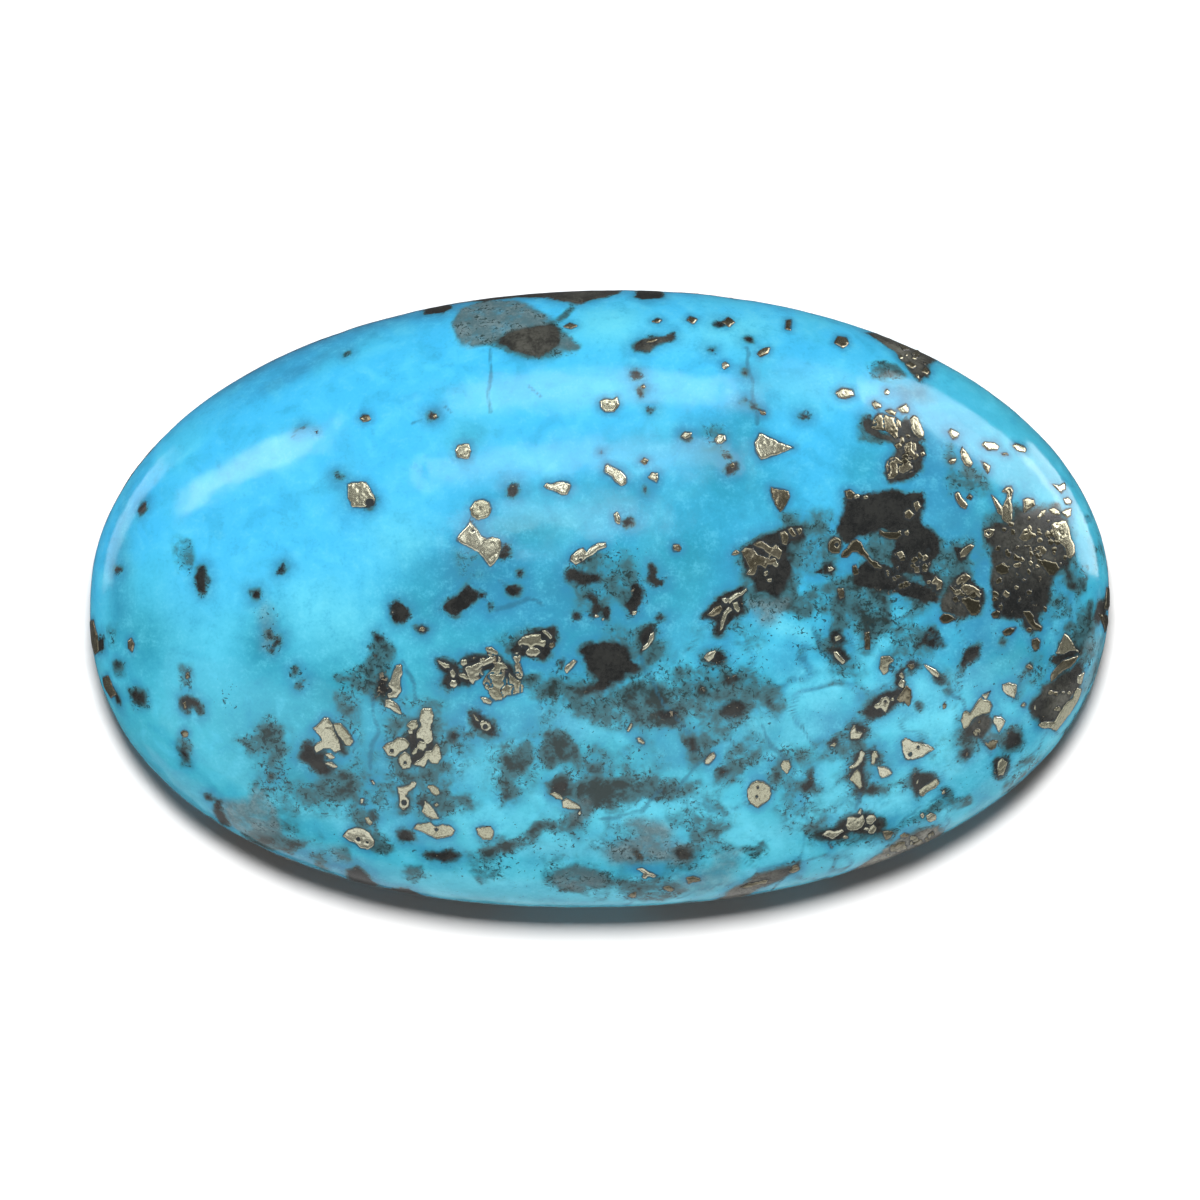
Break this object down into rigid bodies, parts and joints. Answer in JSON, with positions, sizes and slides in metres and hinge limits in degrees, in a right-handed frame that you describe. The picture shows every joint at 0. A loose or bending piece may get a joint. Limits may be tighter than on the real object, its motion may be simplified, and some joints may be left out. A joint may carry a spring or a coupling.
{
  "type": "polished turquoise cabochon",
  "caption": "Oval turquoise stone with a smooth polished dome, dark matrix and pyrite flecks, and a flat back to set or rest on.",
  "frame": {"origin": "middle of the flat back, on the surface that the stone lies on", "axes": "+X along the oval's length, +Y across it, +Z out of the flat back towards the crown of the dome"},
  "size_m": [0.03, 0.0182, 0.0062],
  "materials": {
    "turquoise": "polished",
    "pyrite": "satin"
  },
  "bodies": {
    "root": {"turquoise_cabochon": "turquoise"}
  },
  "joints": []
}
